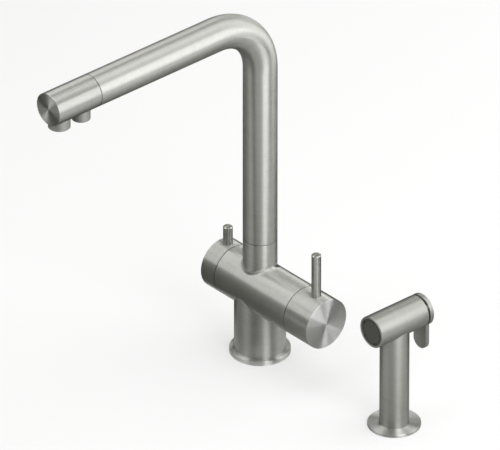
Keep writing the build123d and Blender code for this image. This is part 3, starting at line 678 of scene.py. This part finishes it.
# Column, barrel and neck: a lighter copy of the satin steel, which is painted light that lifts their
# highlights.
LIT_BODY_STEEL = SatinSteel(colour=(0.57, 0.57, 0.547))
FOOT_STEEL = SatinSteel(colour=(0.63, 0.63, 0.61), roughness=0.42, anisotropy=1.0)
# Valve caps: a lighter copy of the satin steel, as on the body, which is painted light; their flat ends have
# a brighter turned finish, made lighter still by painted light.
LIT_DISC_STEEL = SatinSteel(
    colour=(0.57, 0.57, 0.547), anisotropy=1.0, face_colour=(0.78, 0.78, 0.78), face_roughness=0.08
)
TIP_STEEL = SatinSteel(anisotropy=1.0, face_colour=(0.44, 0.44, 0.42))
PIN_STEEL = SatinSteel(roughness=0.30, cloud_size=9 * MM)
OUTLET_STEEL = SatinSteel(colour=(0.36, 0.36, 0.345), roughness=0.66, anisotropy=0.45)
# Side spray: a darker copy of the satin steel, which is painted shade that dims its highlights; its brushing
# spreads them wider.
SHADED_SPRAY_STEEL = SatinSteel(colour=(0.42, 0.42, 0.40), anisotropy=0.75)
FACE_RUBBER = Moulded(
    (0.036, 0.037, 0.032), 0.60, grain=1.3 * MM, bump=0.5, mottle=0.5, hole_depth=0.5 * MM
)
NOZZLE_RUBBER = Moulded((0.125, 0.128, 0.118), 0.55, grain=0.3 * MM)
AERATOR_PLASTIC = Moulded((0.40, 0.41, 0.40), 0.40)
STEEL_SLOT = "satin_steel"
# How far the painted shade reaches on each side of the neck's seam.
NECK_SEAM_REACH = 0.25 * MM
PLAIN_FINISHES: dict[str, Moulded | MachinedMetal] = {
    "steel_fastener": MachinedMetal((0.52, 0.52, 0.51), 0.28),
    "spring_steel": MachinedMetal((0.50, 0.50, 0.50), 0.25),
    "brass": MachinedMetal((0.72, 0.55, 0.28), 0.30),
    "white_plastic": Moulded((0.73, 0.73, 0.71), 0.45),
    "black_plastic": Moulded((0.045, 0.045, 0.045), 0.45),
    "grey_plastic": AERATOR_PLASTIC,
    "seal_rubber": Moulded((0.030, 0.030, 0.030), 0.55),
    "face_rubber": FACE_RUBBER,
}


def new_object(name: str, data: bpy.types.ID) -> bpy.types.Object:
    """Makes an object of a mesh, lamp or camera, in the scene.

    Args:
        name: the object's name.
        data: the mesh, lamp or camera.

    Returns:
        The object.
    """
    made = bpy.data.objects.new(name, data)
    bpy.context.scene.collection.objects.link(made)
    return made


def dress(node: str, material: bpy.types.Material) -> None:
    """Gives a CAD node its material, on the node's own object.

    Args:
        node: the CAD node's name.
        material: its material.
    """
    piece = frame["nodes"][node]
    for slot in piece.material_slots:
        slot.link = "OBJECT"
        slot.material = material
    log.info("%s has %s", node, material.name)


# --- Sub-assemblies -----------------------------------------------------------------------------
@dataclass
class Body:
    """Foot, column, barrel and neck."""

    finish: SatinSteel = LIT_BODY_STEEL
    foot_finish: SatinSteel = FOOT_STEEL

    def dress(self) -> None:
        """Gives the foot and the body their steel."""
        seams = (
            Plane(X_AXIS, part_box("mixer_cap")[0].x),
            Plane(X_AXIS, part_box("filter_cap")[1].x),
            Plane(Z_AXIS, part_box("spout_tube")[0].z, NECK_SEAM_REACH),
        )
        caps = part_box("filter_cap")[0].x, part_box("mixer_cap")[1].x
        whole = Turning.of("mixer_cap", X_AXIS)
        centre = ((caps[0] + caps[1]) / 2, 0.0, whole.point[2])
        barrel = Turning(centre, X_AXIS, (caps[1] - caps[0]) / 2, whole.radius)
        dress("faucet_body", self.finish.material("body_steel", Brushing.BODY, barrel, seams))
        foot = Turning.of("base_flange", Z_AXIS)
        dress("base_flange", self.foot_finish.material("foot_steel", Brushing.TURNED, foot))


@dataclass(frozen=True)
class Bend:
    """The bend of the spout tube."""

    centre: Triple
    radius: float


@dataclass
class Spout:
    """Bent tube, head and the two outlets."""

    finish: SatinSteel = STEEL
    head_finish: SatinSteel = TIP_STEEL
    outlet_finish: SatinSteel = OUTLET_STEEL
    bend_radius: float = 52 * MM

    def bend(self) -> Bend:
        """Place of the tube's bend, from the tube's own box."""
        low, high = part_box("spout_tube")
        inset = (high.x - low.x) / 2 + self.bend_radius
        return Bend((0.0, high.y - inset, high.z - inset), self.bend_radius)

    def dress(self) -> None:
        """Gives the tube, head and outlets their steel, and the aerators their plastic."""
        low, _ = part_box("spout_tube")
        head_seam = Plane(Y_AXIS, low.y)
        seams = (head_seam, Plane(Z_AXIS, low.z, NECK_SEAM_REACH))
        dress("spout_tube", self.finish.material("tube_steel", Brushing.BENT, self.bend(), seams))
        head = Turning.of("spout_head", Y_AXIS)
        dress("spout_head", self.head_finish.material("head_steel", Brushing.TURNED, head, (head_seam,)))
        for side in ("front", "rear"):
            outlet, aerator = f"{side}_outlet", f"{side}_aerator"
            turning = Turning.of(outlet, Z_AXIS)
            dress(outlet, self.outlet_finish.material(f"{outlet}_steel", Brushing.TURNED, turning))
            face = Plane(Z_AXIS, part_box(aerator)[0].z)
            dress(aerator, AERATOR_PLASTIC.material(f"{aerator}_plastic", face))


@dataclass
class Valve:
    """Turning cap and pin lever of one side of the barrel."""

    name: str
    finish: SatinSteel = LIT_DISC_STEEL
    pin_finish: SatinSteel = PIN_STEEL

    def dress(self) -> None:
        """Gives the cap and the lever their steel."""
        cap, lever = f"{self.name}_cap", f"{self.name}_lever"
        low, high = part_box(cap)
        seam = Plane(X_AXIS, low.x if low.x > 0 else high.x)
        turning = Turning.of(cap, X_AXIS)
        dress(cap, self.finish.material(f"{cap}_steel", Brushing.TURNED, turning, (seam,)))
        pin = Turning.of(lever, Z_AXIS)
        dress(lever, self.pin_finish.material(f"{lever}_steel", Brushing.TURNED, pin))


@dataclass
class HandSpray:
    """Foot, handle, head, face and trigger of the side spray."""

    finish: SatinSteel = SHADED_SPRAY_STEEL
    foot_finish: SatinSteel = FOOT_STEEL
    rings: int = 5
    ring_pitch: float = 1.8 * MM
    first_ring: int = 6
    nozzle_radius: float = 0.33 * MM
    nozzle_wall: float = 0.18 * MM
    around: int = 10
    section: int = 6

    def dress(self) -> None:
        """Gives the steel pieces of the side spray their steel, and its face its rubber."""
        upright = Turning.of("spray_handle", Z_AXIS)
        foot = Turning.of("spray_foot", Z_AXIS)
        along = Turning.of("spray_head", Y_AXIS)
        dress("spray_foot", self.foot_finish.material("spray_foot_steel", Brushing.TURNED, foot))
        for node, turning in (("spray_handle", upright), ("spray_head", along), ("trigger_plate", along)):
            dress(node, self.finish.material(f"{node}_steel", Brushing.TURNED, turning))
        face = Plane(Y_AXIS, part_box("spray_face")[0].y)
        dress("spray_face", FACE_RUBBER.material("spray_face_rubber", face))

    def build_nozzles(self) -> None:
        """Makes the rings of small rubber nozzles that stand on the spray's face."""
        piece = new_object("spray_nozzles", bpy.data.meshes.new("spray_nozzles"))
        modifier = piece.modifiers.new("nozzle_rings", "NODES")
        modifier.node_group = self.nozzle_tree(NOZZLE_RUBBER.material("nozzle_rubber"))
        sizes = {
            "Ring Pitch": self.ring_pitch,
            "Nozzle Radius": self.nozzle_radius,
            "Nozzle Wall": self.nozzle_wall,
        }
        for item in modifier.node_group.interface.items_tree:
            if item.name in sizes:
                modifier[item.identifier] = sizes[item.name]
        plain = bpy.data.meshes.new_from_object(piece.evaluated_get(bpy.context.evaluated_depsgraph_get()))
        piece.modifiers.clear()
        piece.data = plain
        plain.shade_smooth()
        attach(piece, "hand_spray")
        log.info("%s: %d faces", piece.name, len(plain.polygons))

    def nozzle_tree(self, rubber: bpy.types.Material) -> bpy.types.NodeTree:
        """Geometry tree of the nozzles: one at the centre and rings of them round it, on the spray's face.

        Args:
            rubber: the nozzles' material.

        Returns:
            The tree, with the ring pitch and the nozzle's radius and wall as inputs.
        """
        tree = bpy.data.node_groups.new("nozzle_rings", "GeometryNodeTree")
        for label in ("Ring Pitch", "Nozzle Radius", "Nozzle Wall"):
            tree.interface.new_socket(label, in_out="INPUT", socket_type="NodeSocketFloat")
        tree.interface.new_socket("Geometry", in_out="OUTPUT", socket_type="NodeSocketGeometry")
        graph = Graph(tree)
        pitch, radius, wall = list(graph.node("NodeGroupInput").outputs)[:3]
        places = graph.node("GeometryNodeJoinGeometry")
        graph.feed(places.inputs[0], graph.node("GeometryNodePoints", {"Count": 1}).outputs[0])
        for ring in range(1, self.rings + 1):
            reach = graph.math("MULTIPLY", pitch, float(ring))
            inputs = {"Vertices": ring * self.first_ring, "Radius": reach}
            circle = graph.node("GeometryNodeMeshCircle", inputs)
            points = graph.node("GeometryNodeMeshToPoints", {0: circle.outputs[0]})
            graph.feed(places.inputs[0], points.outputs[0])
        path = graph.node("GeometryNodeCurvePrimitiveCircle", {"Resolution": self.around, "Radius": radius})
        profile = graph.node("GeometryNodeCurvePrimitiveCircle", {"Resolution": self.section, "Radius": wall})
        nozzle = graph.node("GeometryNodeCurveToMesh", {0: path.outputs[0], 1: profile.outputs[0]})
        inputs = {"Points": places.outputs[0], "Instance": nozzle.outputs[0]}
        stood = graph.node("GeometryNodeInstanceOnPoints", inputs)
        low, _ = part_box("spray_face")
        centre = middle("spray_face")
        seat = (centre.x, low.y, centre.z)
        inputs = {"Geometry": stood.outputs[0], "Translation": seat, "Rotation": (math.radians(90), 0.0, 0.0)}
        moved = graph.node("GeometryNodeTransform", inputs)
        real = graph.node("GeometryNodeRealizeInstances", {0: moved.outputs[0]})
        finished = graph.node("GeometryNodeSetMaterial", {"Geometry": real.outputs[0], "Material": rubber})
        graph.feed(graph.node("NodeGroupOutput").inputs[0], finished.outputs[0])
        return tree


def dress_plain_pieces() -> None:
    """Gives each piece that isn't satin steel the finish of its slot in the record."""
    made = {slot: finish.material(slot) for slot, finish in PLAIN_FINISHES.items()}
    for subpart in frame["record"]["subparts"]:
        slot = subpart["material_slot"]
        if slot != STEEL_SLOT:
            dress(subpart["node"], made[slot])


# --- Studio -------------------------------------------------------------------------------------
@dataclass(frozen=True)
class Softbox:
    """Area lamp that faces the object."""

    name: str
    azimuth: float
    elevation: float
    distance: float
    width: float
    height: float
    radiance: float

    def build(self, aim: Vector) -> None:
        """Makes the lamp.

        Args:
            aim: the point that it faces.
        """
        data = bpy.data.lights.new(self.name, "AREA")
        data.shape = "RECTANGLE"
        data.size, data.size_y = self.width, self.height
        data.energy = self.radiance * math.pi * self.width * self.height
        lamp = new_object(self.name, data)
        lamp.visible_camera = False
        away = direction(self.azimuth, self.elevation)
        lamp.matrix_world = facing(aim + away * self.distance, away)


@dataclass(frozen=True)
class Flag:
    """Matt card beside the object, leaning or flat on the floor, which only its reflections show."""

    name: str
    near: tuple[float, float]
    far: tuple[float, float]
    start: float
    end: float
    turn: float
    colour: Colour = (0.085, 0.085, 0.077)

    def build(self) -> None:
        """Makes the card, from its near low edge to its far high edge, each a distance and a height."""
        turned = Matrix.Rotation(math.radians(self.turn), 3, "Z")
        (near, low), (far, high) = self.near, self.far
        corners = (
            (near, self.start, low),
            (far, self.start, high),
            (far, self.end, high),
            (near, self.end, low),
        )
        card = sheet(self.name, [turned @ Vector(corner) for corner in corners], matt(self.name, self.colour))
        card.visible_camera = card.visible_diffuse = card.visible_shadow = False


def direction(azimuth: float, elevation: float) -> Vector:
    """Unit vector at an azimuth from +X and an elevation, both in degrees."""
    turn, rise = math.radians(azimuth), math.radians(elevation)
    return Vector((math.cos(turn) * math.cos(rise), math.sin(turn) * math.cos(rise), math.sin(rise)))


def level_axes(back: Vector) -> tuple[Vector, Vector]:
    """Right and up of a lamp or camera that is held level.

    Args:
        back: the direction that it faces away from.

    Returns:
        The unit vectors to its right and up.
    """
    right = Vector(Z_AXIS).cross(back).normalized()
    return right, back.cross(right)


def facing(place: Vector, back: Vector) -> Matrix:
    """Placement of a lamp or camera whose back points along a vector, held level.

    Args:
        place: where it stands.
        back: the direction that it faces away from.

    Returns:
        The matrix.
    """
    right, up = level_axes(back)
    return Matrix.Translation(place) @ Matrix((right, up, back)).transposed().to_4x4()


def matt(name: str, colour: Colour) -> bpy.types.Material:
    """Plain matt material for the studio.

    Args:
        name: the material's name.
        colour: its colour.

    Returns:
        The material.
    """
    made, _, shader = new_material(name)
    shader.inputs["Base Color"].default_value = (*colour, 1.0)
    shader.inputs["Roughness"].default_value = 1.0
    shader.inputs["Specular IOR Level"].default_value = 0.0
    return made


def sheet(name: str, corners: list[Vector], material: bpy.types.Material) -> bpy.types.Object:
    """Makes a flat sheet with four corners.

    Args:
        name: the sheet's name.
        corners: its corners, in order round it.
        material: its material.

    Returns:
        The sheet.
    """
    mesh = bpy.data.meshes.new(name)
    mesh.from_pydata(corners, [], [(0, 1, 2, 3)])
    mesh.materials.append(material)
    return new_object(name, mesh)


@dataclass
class Studio:
    """Pale floor, soft light, cards that only reflections show, and the camera at the photo's angle."""

    floor_colour: Colour = (0.82, 0.82, 0.83)
    floor_white: float = 0.5
    floor_half: float = 4.0
    world_colour: Colour = (1.0, 1.0, 0.93)
    world_level: float = 0.33
    lens: float = 1400.0
    frame_width: float = 428.5 * MM
    elevation: float = 31.42
    azimuth: float = -41.35
    centre_right: float = -8.68 * MM
    centre_up: float = 107.7 * MM
    centre_near: float = 100 * MM
    clip_start: float = 1.0
    clip_beyond: float = 10.0
    aim: Triple = (0.03, -0.06, 0.17)
    softboxes: tuple[Softbox, ...] = (
        Softbox("key_softbox", -5.0, 22.0, 1.2, 0.76, 1.1, 3.4),
        Softbox("right_softbox", 62.0, 25.0, 1.3, 1.2, 1.5, 1.65),
        Softbox("overhead_softbox", 60.0, 80.0, 1.3, 0.9, 0.9, 1.7),
        Softbox("left_softbox", -170.0, 49.0, 1.3, 1.4, 0.75, 1.6),
        Softbox("back_softbox", 115.0, 14.0, 1.3, 0.5, 0.5, 2.2),
        Softbox("low_softbox", 58.0, 6.0, 1.25, 0.6, 0.35, 1.5),
        Softbox("front_softbox", -104.0, 28.0, 1.3, 0.75, 0.8, 2.1),
    )
    flags: tuple[Flag, ...] = (
        Flag("left_flag", (0.07, 0.0006), (0.45, 0.24), -0.35, 0.65, 180.0),
        Flag("back_flag", (0.12, 0.01), (0.45, 0.25), -0.35, 0.12, 90.0),
        Flag("front_flag", (0.032, 0.0006), (0.45, 0.25), -0.30, 0.08, -90.0, (0.16, 0.16, 0.15)),
        Flag("right_flag", (0.03, 0.0006), (0.30, 0.0006), -0.26, 0.20, 0.0, (0.39, 0.39, 0.38)),
    )

    def build(self) -> None:
        """Makes the floor, the light and the camera."""
        self.build_floor()
        self.build_world()
        for softbox in self.softboxes:
            softbox.build(Vector(self.aim))
            log.info("%s", softbox.name)
        for flag in self.flags:
            flag.build()
            log.info("%s", flag.name)
        self.build_camera()

    def build_floor(self) -> None:
        """Makes the floor."""
        half = self.floor_half
        corners = [Vector((half * x, half * y, 0.0)) for x, y in ((-1, -1), (1, -1), (1, 1), (-1, 1))]
        floor = sheet("floor", corners, self.floor_material())

    def floor_material(self) -> bpy.types.Material:
        """Pale floor that is part white of its own where the camera or a reflection sees it.

        Returns:
            The material, which keeps the object's shadow, and whose diffuse light is a plain floor's.
        """
        made = matt("floor", self.floor_colour)
        graph = Graph(made.node_tree)
        path = graph.node("ShaderNodeLightPath").outputs
        seen = graph.math("ADD", path["Is Camera Ray"], path["Is Glossy Ray"])
        seen = graph.math("ADD", seen, path["Is Transmission Ray"], clamp=True)
        white = graph.node("ShaderNodeEmission", {"Color": (1.0, 1.0, 1.0, 1.0), "Strength": 1.0})
        lit = made.node_tree.nodes["Principled BSDF"]
        share = graph.math("MULTIPLY", seen, self.floor_white)
        mixed = graph.node("ShaderNodeMixShader", {0: share, 1: lit.outputs[0], 2: white.outputs[0]})
        graph.feed(made.node_tree.nodes["Material Output"].inputs["Surface"], mixed.outputs[0])
        return made

    def build_world(self) -> None:
        """Makes the plain grey surroundings."""
        world = bpy.data.worlds.new("studio")
        world.use_nodes = True
        background = world.node_tree.nodes["Background"]
        background.inputs["Color"].default_value = (*self.world_colour, 1.0)
        background.inputs["Strength"].default_value = self.world_level
        bpy.context.scene.world = world

    def build_camera(self) -> None:
        """Makes the camera: a long lens from far off, because the photograph has no perspective."""
        back = direction(self.azimuth, self.elevation)
        right, up = level_axes(back)
        data = bpy.data.cameras.new("camera")
        data.lens = self.lens
        distance = self.frame_width * self.lens / data.sensor_width
        centre = right * self.centre_right + up * self.centre_up + back * self.centre_near
        camera = new_object("camera", data)
        camera.matrix_world = facing(centre + back * distance, back)
        data.clip_start, data.clip_end = self.clip_start, distance + self.clip_beyond
        bpy.context.scene.camera = camera


def main() -> None:
    """Builds the finishes, the sub-assemblies and the studio in order."""
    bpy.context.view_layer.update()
    Effects.build()
    dress_plain_pieces()
    spray = HandSpray()
    for part in (Body(), Spout(), Valve("mixer"), Valve("filter"), spray):
        part.dress()
    spray.build_nozzles()
    Studio().build()
    scene = bpy.context.scene
    scene.view_settings.view_transform = "Standard"


if __name__ == "__main__":
    main()
